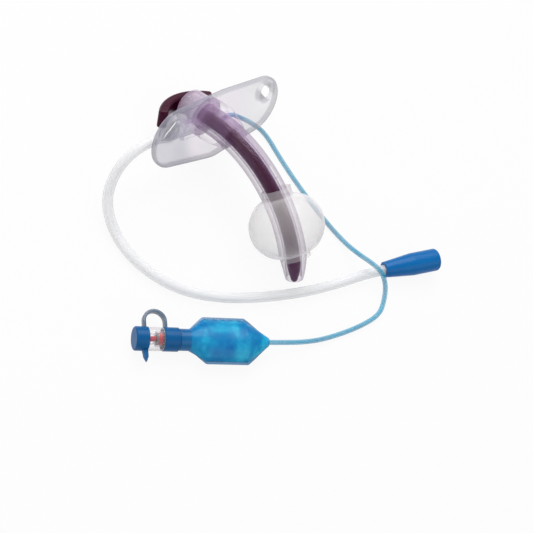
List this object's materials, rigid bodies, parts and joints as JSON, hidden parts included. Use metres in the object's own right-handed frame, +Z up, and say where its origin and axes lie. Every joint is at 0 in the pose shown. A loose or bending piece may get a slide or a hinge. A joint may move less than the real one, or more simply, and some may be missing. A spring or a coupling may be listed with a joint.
{
  "type": "tracheostomy tube",
  "caption": "Cuffed curved tracheostomy tube with neck flange, breathing connector, obturator, suction line with funnel, and inflation line with pilot balloon and sprung valve.",
  "frame": {"origin": "on the table, under the middle of the box round the tube, flange, connector, cuff and obturator as they lie", "axes": "+Z up from the table, +X to the right of the picture, +Y away from the camera across the table"},
  "size_m": [0.1472, 0.1247, 0.0348],
  "materials": {
    "clear_tube": "clear lavender PVC, glossy",
    "clear_flange": "clear lavender-white PVC, satin",
    "clear_connector": "clear hard plastic, glossy",
    "cuff_film": "thin milky film, satin",
    "maroon_plastic": "smooth moulded plastic",
    "suction_line_pvc": "clear soft PVC, glossy",
    "blue_funnel": "soft moulded plastic, glossy",
    "inflation_line_pvc": "clear soft PVC with a cyan tint",
    "blue_film": "thin translucent blue film, glossy",
    "white_valve": "translucent white plastic",
    "red_plunger": "moulded plastic",
    "seal_rubber": "soft rubber",
    "spring_steel": "drawn wire",
    "blue_cap": "soft moulded plastic, satin"
  },
  "bodies": {
    "tube": {"tube_shaft": "clear_tube", "neck_flange": "clear_flange", "tube_connector": "clear_connector", "cuff": "cuff_film", "suction_line": "suction_line_pvc", "suction_connector": "blue_funnel", "inflation_line": "inflation_line_pvc", "pilot_balloon": "blue_film", "valve_body": "white_valve", "valve_stem": "white_valve", "valve_spring": "spring_steel", "cap_strap": "blue_cap"},
    "introducer": {"obturator": "maroon_plastic"},
    "cap": {"valve_cap": "blue_cap"},
    "plunger": {"valve_plunger": "red_plunger", "valve_seal": "seal_rubber"}
  },
  "joints": [
    {"name": "obturator_withdraw", "type": "hinge", "parent": "tube", "child": "introducer", "pos_m": [-0.00155, -0.00804, -0.03436], "axis": [-0.7748, -0.6053, 0.1827], "range_deg": [0, 97]},
    {"name": "cap_pull", "type": "slide", "parent": "tube", "child": "cap", "axis": [-0.9938, -0.1115, 0], "range_m": [0, 0.009], "deforming": ["cap_strap"]},
    {"name": "plunger_press", "type": "slide", "parent": "tube", "child": "plunger", "axis": [0.9938, 0.1115, 0], "range_m": [0, 0.0015], "stiffness_N_per_m": 200, "springref_m": -0.001, "deforming": ["valve_spring"]}
  ]
}
